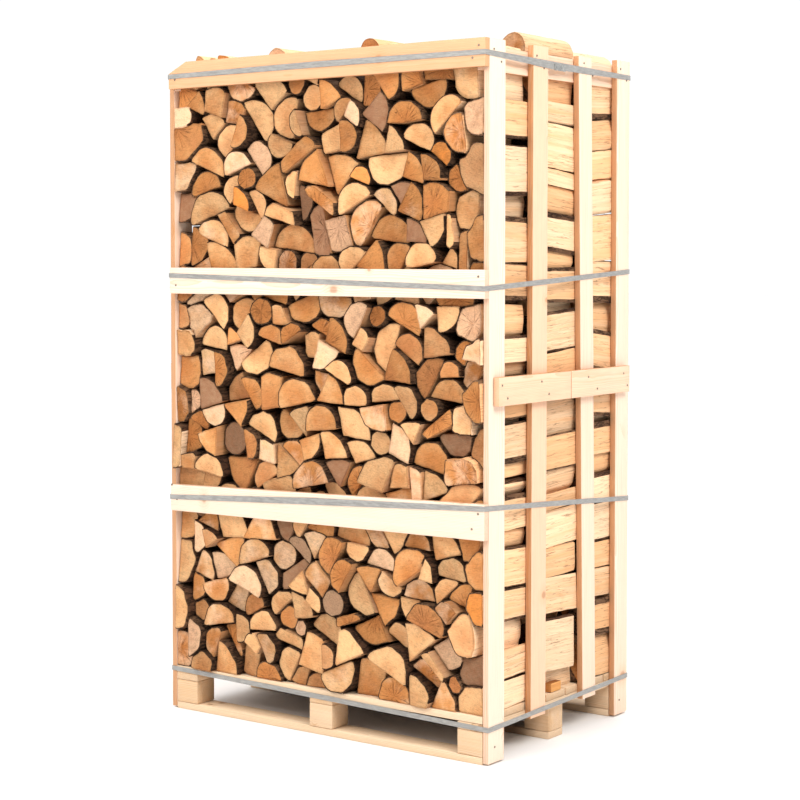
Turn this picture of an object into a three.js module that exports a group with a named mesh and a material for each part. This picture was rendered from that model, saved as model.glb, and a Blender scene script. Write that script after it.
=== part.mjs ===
// Slatted softwood crate on a block pallet, filled with three rows of split firewood
// and bound with flat straps. Millimetres, +Z up, origin on the ground under the middle.
import * as THREE from 'three';

// ---- driving dimensions -------------------------------------------------------------
const FRAME_WIDTH = 1200;      // X, over the outer faces of the posts
const FRAME_DEPTH = 784;       // Y, over the narrow edges of the corner posts
const POST_TOP = 2030;
const GAP = 0.3;               // clearance between touching pieces

const SLAT = 22;               // thickness of pallet boards and face boards
const POST_THICKNESS = 20;
const BLOCK_HEIGHT = 71;
const BLOCK_WIDTH = 86;        // X
const BLOCK_DEPTH = 80;        // Y
const DECK_BOARDS = 7;
const DECK_BOARD_WIDTH = 107;

const BLOCK_BASE = SLAT;
const STRINGER_BASE = BLOCK_BASE + BLOCK_HEIGHT;
const DECK_BASE = STRINGER_BASE + SLAT;
const DECK_TOP = DECK_BASE + SLAT;

const HALF_WIDTH = FRAME_WIDTH / 2;
const HALF_DEPTH = FRAME_DEPTH / 2;
const INNER_X = HALF_WIDTH - POST_THICKNESS;
const PALLET_X = INNER_X - GAP;

// Side posts: near edge and far edge at the top, shift of the foot, bottom and top height.
// leftTop is the height on the left side, where that post is cut shorter.
const POSTS = [
  { name: 'front_corner', from: -392, to: -310, footShift: 0, bottom: 4, top: 2030, leftTop: 1996 },
  { name: 'front_inner', from: -166, to: -84, footShift: -5, bottom: 90, top: 2030 },
  { name: 'rear_inner', from: 84, to: 161, footShift: 38, bottom: 92, top: 2020 },
  { name: 'rear_corner', from: 312, to: 392, footShift: 0, bottom: 4, top: 2027 },
];

// Face boards: lower and upper edge at the short end and at the flush end.
const FACE_BOARDS = [
  { name: 'top', short: [1946, 2029], flush: [1949, 2030], wane: true },
  { name: 'middle', short: [1311, 1393], flush: [1309, 1391], wane: false },
  { name: 'lower', short: [630, 713], flush: [636, 740], wane: false },
];
const FACE_BOARD_SHORTFALL = 16;   // each board stops this far short at one end
const WANE = { length: 72, depth: 34 };

const TOP_RAIL = { bottom: 1941, top: 2012 };
const MID_RAIL = { bottom: 1009, top: 1091, from: -372, joint: 17, to: 364, slit: 2 };

const STRAP = { width: 14, thickness: 1, cornerSteps: 3 };
const SEAL = { length: 60, width: 19, thickness: 1.4 };

// Strap heights at the frame's corners, running round from the near right corner.
// kink is one more height on the right side, bow one on the front.
const STRAPS = [
  { rightFront: 1989, rightRear: 1977, leftRear: 1981, leftFront: 1985, kink: 1975, bow: 1991 },
  { rightFront: 1338, rightRear: 1380, leftRear: 1374, leftFront: 1368, kink: 1355, bow: 1354 },
  { rightFront: 727, rightRear: 675, leftRear: 668, leftFront: 673, kink: 706, bow: 706 },
  { rightFront: 102, rightRear: 119, leftRear: 123, leftFront: 126, kink: 109, bow: 115 },
];
const KINK_Y = -62;

// Log rows: three stacks one behind another, with the crowns of the top logs on each.
const LOG_ROWS = [
  { name: 'front', from: -391.9, to: -133, crowns: [0.35, 0.1, 0.65, 0.3, 0.8, 0.55, 0.9, 0.45, 0.7, 1] },
  { name: 'middle', from: -129, to: 129, crowns: [0.6, 0.3, 0.5, 0.8, 0.4, 0.7, 0.35, 0.9, 0.5, 0.75] },
  { name: 'rear', from: 133, to: 391.9, crowns: [0.5, 0.75, 0.4, 0.6, 0.9, 0.35, 0.65, 0.5, 0.8, 0.6] },
];
const ROW_SHOULDER = 1938;     // below the top rails a row is as wide as the crate inside
const ROW_VALLEY = 2014;
const ROW_CROWN = 2058;
const CROWN_STEPS = 4;
const OFFCUT = { width: 23, from: -26, to: 31, height: 28 };

// ---- materials ----------------------------------------------------------------------
const paleSpruce = new THREE.MeshStandardMaterial({ color: 0xead2a8, roughness: 0.75, metalness: 0 });
const palletPine = new THREE.MeshStandardMaterial({ color: 0xdcb988, roughness: 0.85, metalness: 0 });
const splitWood = new THREE.MeshStandardMaterial({ color: 0xc69460, roughness: 0.9, metalness: 0 });
const orangeWood = new THREE.MeshStandardMaterial({ color: 0xd98a45, roughness: 0.85, metalness: 0 });
const greyBand = new THREE.MeshStandardMaterial({ color: 0x9a9a98, roughness: 0.45, metalness: 0.4 });
const darkSteel = new THREE.MeshStandardMaterial({ color: 0x7c7d7c, roughness: 0.4, metalness: 0.9 });

const crate = new THREE.Group();

// ---- shape helpers ------------------------------------------------------------------
function add(name, geometry, material) {
  const mesh = new THREE.Mesh(geometry, material.clone());
  mesh.name = name;
  crate.add(mesh);
  return mesh;
}

// A squared board given by its lowest and highest corner.
function addBoard(name, low, high, material) {
  const size = high.map((value, axis) => value - low[axis]);
  const mesh = add(name, new THREE.BoxGeometry(...size), material);
  mesh.position.set(...high.map((value, axis) => (value + low[axis]) / 2));
}

function outline(points) {
  return new THREE.Shape(points.map(([a, b]) => new THREE.Vector2(a, b)));
}

// Extrudes an outline drawn in X and Z along +Y, from one depth to another.
function extrudeAlongY(points, from, to) {
  const geometry = new THREE.ExtrudeGeometry(outline(points), { depth: to - from, bevelEnabled: false });
  geometry.rotateX(Math.PI / 2);
  geometry.translate(0, to, 0);
  return geometry;
}

// Extrudes an outline drawn in Y and Z along +X, from one width to another.
function extrudeAlongX(points, from, to) {
  const geometry = new THREE.ExtrudeGeometry(outline(points), { depth: to - from, bevelEnabled: false });
  geometry.applyMatrix4(new THREE.Matrix4().makeBasis(
    new THREE.Vector3(0, 1, 0), new THREE.Vector3(0, 0, 1), new THREE.Vector3(1, 0, 0)));
  geometry.translate(from, 0, 0);
  return geometry;
}

// ---- pallet -------------------------------------------------------------------------
const rowsAcrossDepth = { front: -HALF_DEPTH + BLOCK_DEPTH / 2, middle: 0, rear: HALF_DEPTH - BLOCK_DEPTH / 2 };
const rowsAcrossWidth = { left: -PALLET_X + BLOCK_WIDTH / 2, middle: 0, right: PALLET_X - BLOCK_WIDTH / 2 };

for (const [row, y] of Object.entries(rowsAcrossDepth)) {
  addBoard(`bottom_board_${row}`, [-PALLET_X, y - BLOCK_DEPTH / 2, 0],
    [PALLET_X, y + BLOCK_DEPTH / 2, SLAT - GAP], palletPine);
  for (const [column, x] of Object.entries(rowsAcrossWidth)) {
    addBoard(`block_${row}_${column}`, [x - BLOCK_WIDTH / 2, y - BLOCK_DEPTH / 2, BLOCK_BASE],
      [x + BLOCK_WIDTH / 2, y + BLOCK_DEPTH / 2, STRINGER_BASE - GAP], palletPine);
  }
}

for (const [column, x] of Object.entries(rowsAcrossWidth)) {
  addBoard(`stringer_${column}`, [x - BLOCK_WIDTH / 2, -HALF_DEPTH, STRINGER_BASE],
    [x + BLOCK_WIDTH / 2, HALF_DEPTH, DECK_BASE - GAP], palletPine);
}

const deckPitch = (FRAME_DEPTH - DECK_BOARD_WIDTH) / (DECK_BOARDS - 1);
for (let index = 0; index < DECK_BOARDS; index += 1) {
  const from = -HALF_DEPTH + index * deckPitch;
  addBoard(`deck_board_${index + 1}`, [-PALLET_X, from, DECK_BASE],
    [PALLET_X, from + DECK_BOARD_WIDTH, DECK_TOP - GAP], palletPine);
}

// ---- side ladders -------------------------------------------------------------------
for (const [side, sign] of [['right', 1], ['left', -1]]) {
  for (const { name, from, to, footShift, bottom, top, leftTop = top } of POSTS) {
    const height = sign > 0 ? top : leftTop;
    const corners = [[from + footShift, bottom], [to + footShift, bottom], [to, height], [from, height]];
    const near = sign > 0 ? INNER_X : -HALF_WIDTH;
    add(`post_${side}_${name}`, extrudeAlongX(corners, near, near + POST_THICKNESS), paleSpruce);
  }
  const railInner = sign * (INNER_X - GAP - SLAT);
  const railOuter = sign * (INNER_X - GAP);
  addBoard(`top_rail_${side}`, [Math.min(railInner, railOuter), -HALF_DEPTH + GAP, TOP_RAIL.bottom],
    [Math.max(railInner, railOuter), HALF_DEPTH - GAP, TOP_RAIL.top], paleSpruce);

  const outerFrom = sign * (HALF_WIDTH + GAP);
  const outerTo = sign * (HALF_WIDTH + GAP + POST_THICKNESS);
  const pieces = [
    ['front', MID_RAIL.from, MID_RAIL.joint - MID_RAIL.slit / 2],
    ['rear', MID_RAIL.joint + MID_RAIL.slit / 2, MID_RAIL.to],
  ];
  for (const [piece, from, to] of pieces) {
    addBoard(`mid_rail_${side}_${piece}`, [Math.min(outerFrom, outerTo), from, MID_RAIL.bottom],
      [Math.max(outerFrom, outerTo), to, MID_RAIL.top], paleSpruce);
  }
}

// ---- face boards --------------------------------------------------------------------
// The front boards are flush on the right and short on the left; the rear ones are the
// same boards seen from behind.
for (const [face, turn] of [['front', 0], ['rear', Math.PI]]) {
  for (const { name, short, flush, wane } of FACE_BOARDS) {
    const shortX = -HALF_WIDTH + FACE_BOARD_SHORTFALL;
    const shortTop = wane
      ? [[shortX + WANE.length, short[1]], [shortX, short[1] - WANE.depth]]
      : [[shortX, short[1]]];
    const corners = [[shortX, short[0]], [HALF_WIDTH, flush[0]], [HALF_WIDTH, flush[1]], ...shortTop];
    const board = add(`face_board_${face}_${name}`,
      extrudeAlongY(corners, -HALF_DEPTH - GAP - SLAT, -HALF_DEPTH - GAP), paleSpruce);
    board.rotation.z = turn;
  }
}

// ---- straps -------------------------------------------------------------------------
// The strap's route around the frame, counter-clockwise from above. Straps over the face
// boards go round the boards' ends; the lowest one lies on the pallet itself.
function strapRoute(strap, overBoards) {
  const faceY = overBoards ? HALF_DEPTH + GAP + SLAT : HALF_DEPTH;
  const setIn = overBoards ? FACE_BOARD_SHORTFALL : 0;
  const route = [
    [HALF_WIDTH, -faceY, strap.rightFront],
    [HALF_WIDTH, KINK_Y, strap.kink],
    [HALF_WIDTH, HALF_DEPTH, strap.rightRear],
    [-HALF_WIDTH, faceY, strap.leftRear],
    [-HALF_WIDTH, -HALF_DEPTH, strap.leftFront],
    [0, -faceY, strap.bow],
  ];
  if (overBoards) {
    route.splice(3, 0, [HALF_WIDTH - setIn, faceY, strap.rightRear]);
    route.splice(6, 0, [-HALF_WIDTH + setIn, -faceY, strap.leftFront]);
  }
  return route;
}

// Offsets the route outwards, with an arc at each corner that really turns.
function offsetRoute(route, distance) {
  const points = [];
  route.forEach(([x, y], index) => {
    const before = route[(index + route.length - 1) % route.length];
    const after = route[(index + 1) % route.length];
    const normalIn = Math.atan2(before[0] - x, y - before[1]);
    const normalOut = Math.atan2(x - after[0], after[1] - y);
    let turn = normalOut - normalIn;
    while (turn < -1e-9) turn += 2 * Math.PI;
    const steps = turn > 0.05 ? STRAP.cornerSteps : 0;
    for (let step = 0; step <= steps; step += 1) {
      const angle = normalIn + (steps ? (turn * step) / steps : 0);
      points.push([x + distance * Math.cos(angle), y + distance * Math.sin(angle)]);
    }
  });
  return points;
}

function nearestHeight(route, x, y) {
  const distances = route.map(([rx, ry]) => Math.hypot(rx - x, ry - y));
  return route[distances.indexOf(Math.min(...distances))][2];
}

function strapGeometry(route) {
  const band = outline(offsetRoute(route, GAP + STRAP.thickness));
  band.holes.push(new THREE.Path(offsetRoute(route, GAP).map(([x, y]) => new THREE.Vector2(x, y))));
  const geometry = new THREE.ExtrudeGeometry(band, { depth: STRAP.width, bevelEnabled: false });
  const position = geometry.attributes.position;
  for (let index = 0; index < position.count; index += 1) {
    const height = nearestHeight(route, position.getX(index), position.getY(index));
    position.setZ(index, position.getZ(index) + height - STRAP.width / 2);
  }
  return geometry;
}

STRAPS.forEach((strap, index) => {
  const route = strapRoute(strap, index < 3);
  add(`strap_${index + 1}`, strapGeometry(route), greyBand);
});

// One crimped seal on each strap: the top one on the right side, the others on the left.
const sealOffset = HALF_WIDTH + GAP + STRAP.thickness + GAP;
STRAPS.forEach((strap, index) => {
  const onRight = index === 0;
  const middleY = onRight ? KINK_Y + SEAL.length / 2 + 6 : 0;
  const height = onRight ? strap.kink : (strap.leftFront + strap.leftRear) / 2;
  const x = onRight ? sealOffset : -sealOffset - SEAL.thickness;
  addBoard(`strap_seal_${index + 1}`, [x, middleY - SEAL.length / 2, height - SEAL.width / 2],
    [x + SEAL.thickness, middleY + SEAL.length / 2, height + SEAL.width / 2], darkSteel);
});

// ---- offcut and log rows ------------------------------------------------------------
addBoard('offcut_block', [PALLET_X - OFFCUT.width, OFFCUT.from, DECK_TOP],
  [PALLET_X, OFFCUT.to, DECK_TOP + OFFCUT.height], orangeWood);

// The top of a row: a line of rounded crowns, drawn from right to left.
function crownLine(crowns, halfWidth) {
  const points = [];
  const pitch = (2 * halfWidth) / crowns.length;
  crowns.slice().reverse().forEach((rise, index) => {
    const middle = halfWidth - (index + 0.5) * pitch;
    for (let step = 0; step < CROWN_STEPS; step += 1) {
      const angle = (Math.PI * step) / CROWN_STEPS;
      const height = ROW_VALLEY + (ROW_CROWN - ROW_VALLEY) * rise * Math.sin(angle);
      points.push([middle + (pitch / 2) * Math.cos(angle), height]);
    }
  });
  points.push([-halfWidth, ROW_VALLEY]);
  return points;
}

for (const { name, from, to, crowns } of LOG_ROWS) {
  const base = DECK_TOP + GAP;
  const shoulder = INNER_X - GAP - SLAT - GAP;
  const wall = PALLET_X - GAP;
  const footX = PALLET_X - OFFCUT.width - GAP;
  const footTop = DECK_TOP + OFFCUT.height + GAP;
  const rightFoot = name === 'middle' ? [[footX, base], [footX, footTop], [wall, footTop]] : [[wall, base]];
  const points = [
    [-wall, base],
    ...rightFoot,
    [wall, ROW_SHOULDER],
    [shoulder, ROW_SHOULDER],
    ...crownLine(crowns, shoulder),
    [-shoulder, ROW_SHOULDER],
    [-wall, ROW_SHOULDER],
  ];
  add(`log_row_${name}`, extrudeAlongY(points, from, to), splitWood);
}

export default crate;
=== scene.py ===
"""Looks of a pallet crate of split firewood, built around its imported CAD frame."""
import math
import random

import bmesh
import bpy
import numpy as np
from mathutils import Matrix, Vector, noise


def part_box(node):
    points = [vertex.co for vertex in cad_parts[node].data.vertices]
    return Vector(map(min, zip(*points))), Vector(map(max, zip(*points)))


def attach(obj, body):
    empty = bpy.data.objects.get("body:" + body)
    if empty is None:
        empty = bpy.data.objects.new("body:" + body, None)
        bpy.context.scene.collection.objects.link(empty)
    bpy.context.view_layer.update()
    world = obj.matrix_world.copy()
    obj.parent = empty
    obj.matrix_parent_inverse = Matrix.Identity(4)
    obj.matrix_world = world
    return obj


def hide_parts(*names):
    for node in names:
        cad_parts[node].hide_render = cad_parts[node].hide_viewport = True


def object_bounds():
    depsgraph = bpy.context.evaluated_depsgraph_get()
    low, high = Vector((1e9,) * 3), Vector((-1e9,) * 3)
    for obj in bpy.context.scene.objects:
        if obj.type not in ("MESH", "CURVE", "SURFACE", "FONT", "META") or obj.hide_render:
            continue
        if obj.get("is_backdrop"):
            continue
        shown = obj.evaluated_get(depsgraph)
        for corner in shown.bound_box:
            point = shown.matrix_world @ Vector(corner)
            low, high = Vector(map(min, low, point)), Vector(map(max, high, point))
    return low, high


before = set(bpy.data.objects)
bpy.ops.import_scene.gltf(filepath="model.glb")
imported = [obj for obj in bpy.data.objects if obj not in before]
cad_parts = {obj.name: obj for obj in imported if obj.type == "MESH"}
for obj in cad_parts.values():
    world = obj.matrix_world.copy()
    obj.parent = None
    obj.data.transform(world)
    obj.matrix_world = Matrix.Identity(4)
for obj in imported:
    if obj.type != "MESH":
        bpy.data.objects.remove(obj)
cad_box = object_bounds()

MM = 0.001
X, Y, Z = 0, 1, 2

# the crate's outline and the room that a row of logs has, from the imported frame
HALF_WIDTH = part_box("deck_board_1")[1][X]
HALF_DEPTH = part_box("deck_board_7")[1][Y]
DECK_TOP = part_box("deck_board_1")[1][Z] + 0.4 * MM
LOG_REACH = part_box("log_row_front")[1][X]
LOG_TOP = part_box("log_row_front")[1][Z] - 15 * MM


# ---------- camera, light and floor

CAMERA_PLACE = Vector((3.50, -4.773, 1.427))
CAMERA_AZIMUTH = math.radians(36.2)
CAMERA_PITCH = math.radians(2.5)
CAMERA_LENS = 85.3
CAMERA_SHIFT = -0.076
SENSOR_WIDTH = 36
WALL_GLOW = 1.05            # brightness of the studio behind the crate,
ROOM_GLOW = 0.4             # in front of it
CEILING_GLOW = 1.3          # and overhead
KEY_PLACE = (4.4, -1.8, 4.6)
KEY_SIZE = 2.2
KEY_POWER = 235
KEY_TINT = (1, 0.97, 0.93)
FRONT_PLACE = (-1.0, -5.0, 4.2)
FRONT_SIZE = 2.6
FRONT_POWER = 175
FRONT_TINT = (1, 0.96, 0.9)
LAMP_AIM = (0, 0, 1)
FLOOR_SIZE = 60


def make_camera():
    data = bpy.data.cameras.new("camera")
    data.lens = CAMERA_LENS
    data.sensor_width = SENSOR_WIDTH
    data.shift_y = CAMERA_SHIFT
    camera = bpy.data.objects.new("camera", data)
    level = math.cos(CAMERA_PITCH)
    ahead = Vector((-math.sin(CAMERA_AZIMUTH) * level, math.cos(CAMERA_AZIMUTH) * level,
                    -math.sin(CAMERA_PITCH)))
    camera.location = CAMERA_PLACE
    camera.rotation_euler = ahead.to_track_quat("-Z", "Y").to_euler()
    bpy.context.collection.objects.link(camera)
    bpy.context.scene.camera = camera


def soft_box(name, place, size, power, tint):
    """A square studio light at place that faces the crate."""
    data = bpy.data.lights.new(name, "AREA")
    data.shape = "SQUARE"
    data.size = size
    data.energy = power
    data.color = tint
    lamp = bpy.data.objects.new(name, data)
    lamp.location = place
    lamp.rotation_euler = (Vector(LAMP_AIM) - Vector(place)).to_track_quat("-Z", "Y").to_euler()
    bpy.context.collection.objects.link(lamp)


def make_studio():
    soft_box("key_light", KEY_PLACE, KEY_SIZE, KEY_POWER, KEY_TINT)
    soft_box("front_light", FRONT_PLACE, FRONT_SIZE, FRONT_POWER, FRONT_TINT)
    world = bpy.data.worlds.new("studio")
    world.use_nodes = True
    bpy.context.scene.world = world
    bpy.context.scene.view_settings.view_transform = "Standard"
    # a white wall behind the crate, a dimmer room in front of it and a bright ceiling
    room = Finish("room", tree=world.node_tree, shader="Background")
    way = room.node("ShaderNodeTexCoord", {}, {}, "Generated")
    x, y, z = room.split(way)
    behind = y * math.cos(CAMERA_AZIMUTH) - x * math.sin(CAMERA_AZIMUTH)
    wall = ROOM_GLOW + room.step(behind, -0.1, 0.55) * (WALL_GLOW - ROOM_GLOW)
    glow = wall + room.step(z, 0.2, 1.0) * (CEILING_GLOW - ROOM_GLOW)
    room.put(room.shader.inputs["Color"], (1, 1, 1, 1))
    room.put(room.shader.inputs["Strength"], glow)
    bm = bmesh.new()
    bmesh.ops.create_grid(bm, x_segments=1, y_segments=1, size=FLOOR_SIZE)
    floor = new_object("floor", bm, [pale_floor()])
    floor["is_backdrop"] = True


# ---------- shader arithmetic

class Value:
    """An output socket of a finish. Arithmetic on it adds Math nodes."""

    def __init__(self, finish, socket):
        self.finish = finish
        self.socket = socket

    def math(self, operation, *others):
        return self.finish.node("ShaderNodeMath", {"operation": operation},
                                dict(enumerate((self, *others))))

    def __add__(self, other):
        return self.math("ADD", other)

    def __sub__(self, other):
        return self.math("SUBTRACT", other)

    def __mul__(self, other):
        return self.math("MULTIPLY", other)

    def __truediv__(self, other):
        return self.math("DIVIDE", other)

    def __pow__(self, other):
        return self.math("POWER", other)

    def __rsub__(self, other):
        return self.finish.node("ShaderNodeMath", {"operation": "SUBTRACT"}, {0: other, 1: self})

    __radd__ = __add__
    __rmul__ = __mul__


class Finish:
    """A material, or the studio's world, and the one way its nodes are made."""

    def __init__(self, name, tree=None, shader="Principled BSDF", shine=None):
        if tree is None:
            self.material = bpy.data.materials.new(name)
            self.material.use_nodes = True
            tree = self.material.node_tree
        self.tree = tree
        self.shader = tree.nodes[shader]
        if shine is not None:
            self.shader.inputs["Specular IOR Level"].default_value = shine

    def put(self, socket, value):
        """Links a value to a socket, or sets a number, vector or colour on it."""
        if isinstance(value, Value):
            self.tree.links.new(value.socket, socket)
        else:
            socket.default_value = value

    def node(self, kind, settings, inputs, output=0):
        made = self.tree.nodes.new(kind)
        for key, value in settings.items():
            setattr(made, key, value)
        for key, value in inputs.items():
            self.put(made.inputs[key], value)
        return Value(self, made.outputs[output])

    def attribute(self, name, output="Vector"):
        return self.node("ShaderNodeAttribute", {"attribute_name": name}, {}, output)

    def split(self, vector):
        return [self.node("ShaderNodeSeparateXYZ", {}, {0: vector}, k) for k in range(3)]

    def join(self, x, y, z):
        return self.node("ShaderNodeCombineXYZ", {}, {0: x, 1: y, 2: z})

    def noise(self, vector, scale=1.0, detail=2.0, roughness=0.5):
        """Noise centred on zero, about -0.5 to 0.5."""
        return self.node("ShaderNodeTexNoise", {},
                         {"Vector": vector, "Scale": scale, "Detail": detail,
                          "Roughness": roughness}) - 0.5

    def step(self, value, start, end):
        """0 where value is at start, 1 where it is at end, smooth between."""
        return self.node("ShaderNodeMapRange", {"interpolation_type": "SMOOTHSTEP"},
                         {"Value": value, "From Min": start, "From Max": end})

    def mix(self, share, first, second):
        """The first colour where share is 0, the second where it is 1."""
        return self.node("ShaderNodeMix", {"data_type": "RGBA"}, {0: share, 6: first, 7: second}, 2)

    def shade(self, base, amount):
        """A colour times a value."""
        return self.node("ShaderNodeVectorMath", {"operation": "SCALE"}, {0: base, 3: amount})

    def finish(self, base, roughness, height, strength, distance):
        """Gives the shader its colour, roughness and relief; returns the material."""
        bump = self.node("ShaderNodeBump", {}, {"Height": height, "Strength": strength,
                                                "Distance": distance})
        self.put(self.shader.inputs["Base Color"], base)
        self.put(self.shader.inputs["Roughness"], roughness)
        self.put(self.shader.inputs["Normal"], bump)
        return self.material


def colour(red, green, blue):
    """A screen colour from 0 to 255 as the linear colour that shaders take."""
    def linear(level):
        level = level / 255
        return level / 12.92 if level <= 0.04045 else ((level + 0.055) / 1.055) ** 2.4
    return (linear(red), linear(green), linear(blue), 1)


# ---------- finishes

RAW_SHINE = 0.15            # specular level of raw, dry wood
DEPTH_SHADE_FROM = 45 * MM      # depth in the stack where the bleached look fades and painted shade starts,
DEPTH_SHADE_FULL = 110 * MM     # and where no bleaching is left and the painted shade is full
KNOT_PITCH = 0.46           # length along a board in which one knot may lie
KNOT_ARC = 1.25             # and the angle round the pith, in radians
BOARD_RING = 3.6 * MM       # width of a year's growth in the boards
LOG_RING = 3.1 * MM         # and in the logs
WAFFLE_PITCH = 2.2 * MM     # spacing of the pattern pressed into the straps


def pale_floor():
    """A matt, nearly white studio floor."""
    f = Finish("studio_floor")
    place = f.node("ShaderNodeTexCoord", {}, {}, "Object")
    cloud = f.noise(place, 3, 3)
    shade = f.mix(f.step(cloud, -0.3, 0.3), (0.83, 0.83, 0.84, 1), (0.87, 0.87, 0.87, 1))
    return f.finish(shade, 0.9, cloud, 0.02, 1 * MM)


def stack_depth_shade(f, patch):
    """0 near the posts and the top of the stack, 1 where logs lie deeper in it: the mask of the
    painted shade, partly also less bleached wood, deeper in the stack.
    """
    x, _, z = f.split(f.node("ShaderNodeTexCoord", {}, {}, "Object"))
    inside = (HALF_WIDTH - x.math("ABSOLUTE")).math("MINIMUM", LOG_TOP - z)
    return f.step(inside + patch * 40 * MM, DEPTH_SHADE_FROM, DEPTH_SHADE_FULL)


def sawn_wood(name, pale, warm, late_tone, knot_tone, browning_and_shade=1, grime_and_shade=0):
    """Softwood cut from a log whose pith runs along the grain attribute's first axis.

    browning_and_shade is how far the narrow faces darken, partly browner wood and partly painted
    shade; grime_and_shade is how dark the faces are that lie inside the crate's outline, dirt and
    painted shade."""
    f = Finish(name, shine=RAW_SHINE)
    along, across, depth = f.split(f.attribute("grain"))
    hue, light, seed = f.split(f.attribute("tone"))
    end = f.attribute("end", "Fac")
    edge = f.attribute("edge", "Fac")
    wander = f.noise(f.join(along * 1.3, seed * 9, across * 2), 1, 1)
    curl = f.noise(f.join(along * 4, across * 9, depth * 9), 1, 2)
    u = across + wander * 0.05
    v = depth + curl * 0.012
    reach = (u * u + v * v).math("SQRT")
    turn = v.math("ARCTAN2", u)
    # knots are branches that leave the pith, one to a cell of length and angle
    cell = f.node("ShaderNodeTexVoronoi", {"voronoi_dimensions": "3D"},
                  {"Vector": f.join(along * (1 / KNOT_PITCH), turn * (1 / KNOT_ARC), seed * 40),
                   "Scale": 1.0, "Randomness": 0.9}, "Position")
    knot_along, knot_turn, _ = f.split(cell)
    away = along - knot_along * KNOT_PITCH
    aside = (turn - knot_turn * KNOT_ARC) * reach
    to_knot = (away * away * 0.6 + aside * aside).math("SQRT")
    girth = 5 * MM + (knot_along * 7.3).math("FRACT") * 7 * MM
    grown = f.step((knot_along * 3.7).math("FRACT"), 0.7, 0.72)
    knot = (1 - f.step(to_knot / girth, 0.5, 1.25)) * grown
    halo = (1 - f.step(to_knot / girth, 0.9, 3.4)) * grown
    crinkle = f.noise(f.join(along * 9, across * 60, depth * 60))
    year = reach / BOARD_RING + halo * 1.5 + crinkle * 0.5
    late = year.math("FRACT") ** 2.2
    fibre = f.noise(f.join(along * 7, across * 330, depth * 330), 1, 3, 0.6)
    streak = f.noise(f.join(along * 2.2, across * 55, depth * 55), 1, 3, 0.55)
    mottle = f.noise(f.join(along * 14, across * 22, depth * 22), 1, 4, 0.6)
    base = f.mix(f.step(hue + streak * 0.7 + mottle * 0.3, 0, 1), pale, warm)
    base = f.mix(f.step(hue, 1, 2) * 0.8, base, late_tone)
    # narrow faces are painted browner and darker: partly warmer sawn wood, partly painted shade
    edge_brown_and_shade = edge * (0.3 + f.step(hue, 0, 0.3) * 0.45) * browning_and_shade
    base = f.mix(late * 0.4 + halo * 0.2 + end * 0.25 + edge_brown_and_shade, base, late_tone)
    base = f.mix(knot * 0.5 + f.step(mottle, 0.26, 0.5) * 0.3, base, knot_tone)
    base = f.shade(base, 0.86 + light * 0.12 + fibre * 0.3 + mottle * 0.12 - end * 0.1
                   - edge_brown_and_shade * 0.27)
    # faces inside the pallet's outline are painted dark brown: dirt, and painted shade under the
    # deck and between its parts
    if grime_and_shade:
        x, y, _ = f.split(f.node("ShaderNodeTexCoord", {}, {}, "Object"))
        inside = (HALF_WIDTH - x.math("ABSOLUTE")).math("MINIMUM", HALF_DEPTH - y.math("ABSOLUTE"))
        dirt_and_shade = f.step(inside + mottle * 30 * MM, 30 * MM, 130 * MM)
        base = f.mix(dirt_and_shade * grime_and_shade, base, colour(88, 62, 42))
    height = fibre * 0.6 + late * 0.25 + streak * 0.5
    return f.finish(base, 0.72 + fibre * 0.2 + mottle * 0.2, height, 0.55, 0.8 * MM)


def cut_end():
    """The sawn end of a split log, with rings round its pith."""
    f = Finish("cut_end", shine=RAW_SHINE)
    u, v, _ = f.split(f.attribute("pith"))
    hue, light, seed = f.split(f.attribute("tone"))
    rim = f.attribute("rim", "Fac")
    place = f.join(u, v, seed * 3)
    wobble = f.noise(place, 16, 2)
    patch = f.noise(place, 15, 3, 0.6)
    mottle = f.noise(place, 52, 4, 0.66)
    fuzz = f.noise(place, 210, 3, 0.7)
    reach = (u * u + v * v).math("SQRT") + wobble * 9 * MM
    turn = v.math("ARCTAN2", u)
    late = (reach / LOG_RING).math("FRACT") ** 1.8
    heart = 1 - f.step(reach, 16 * MM, 44 * MM + hue * 22 * MM)
    saw = f.noise(f.join((u + v * (hue - 0.5)) * 60, (v - u * (hue - 0.5)) * 520, seed), 1, 2)
    split = f.noise(f.join(turn * 3.4, seed * 30, reach * 5), 1, 3, 0.6).math("ABSOLUTE")
    crack = (1 - f.step(split, 0.003, 0.012)) * (1 - f.step(reach, 30 * MM, 75 * MM))
    crack = crack * f.step(hue, 0.78, 0.84)
    ringed = f.step((seed * 7.3).math("FRACT"), 0.35, 1)
    fresh = f.step(hue + patch * 1.2, 0.05, 0.95)
    base = f.mix(fresh, colour(234, 186, 134), colour(204, 140, 82))
    base = f.mix(heart * (0.25 + hue * 0.4), base, colour(178, 106, 52))
    dull = f.step(mottle + fuzz * 0.5, 0.0, 0.3)
    base = f.mix(late * (0.2 + ringed * 0.35) + dull * 0.6, base, colour(146, 88, 48))
    base = f.mix(f.step(seed + patch * 0.5, 0.8, 1.0) * 0.35, base, colour(178, 118, 80))
    base = f.mix((1 - f.step(seed + patch * 0.6, 0.1, 0.3)) * 0.5, base, colour(240, 204, 172))
    base = f.mix(f.step(seed, 0.972, 0.98) * 0.6, base, colour(222, 134, 50))
    aged = 1 - f.step(seed, 0.045, 0.055)
    base = f.mix(aged * (0.8 + mottle * 0.6 - late * 0.2), base, colour(106, 60, 32))
    # the dark rim round each end is dirt and saw burr, and partly painted shade from the gaps
    # between logs
    base = f.mix(crack * 0.7 + rim * 0.4, base, colour(84, 50, 30))
    base = f.shade(base, 0.72 + light * 0.44 + saw * 0.6 + mottle * 0.9 + fuzz * 0.7)
    height = saw * 0.5 + mottle * 1.0 + fuzz * 0.5 - crack * 1.5 + late * 0.3
    return f.finish(base, 0.82 + mottle * 0.2, height, 0.8, 1.6 * MM)


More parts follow.
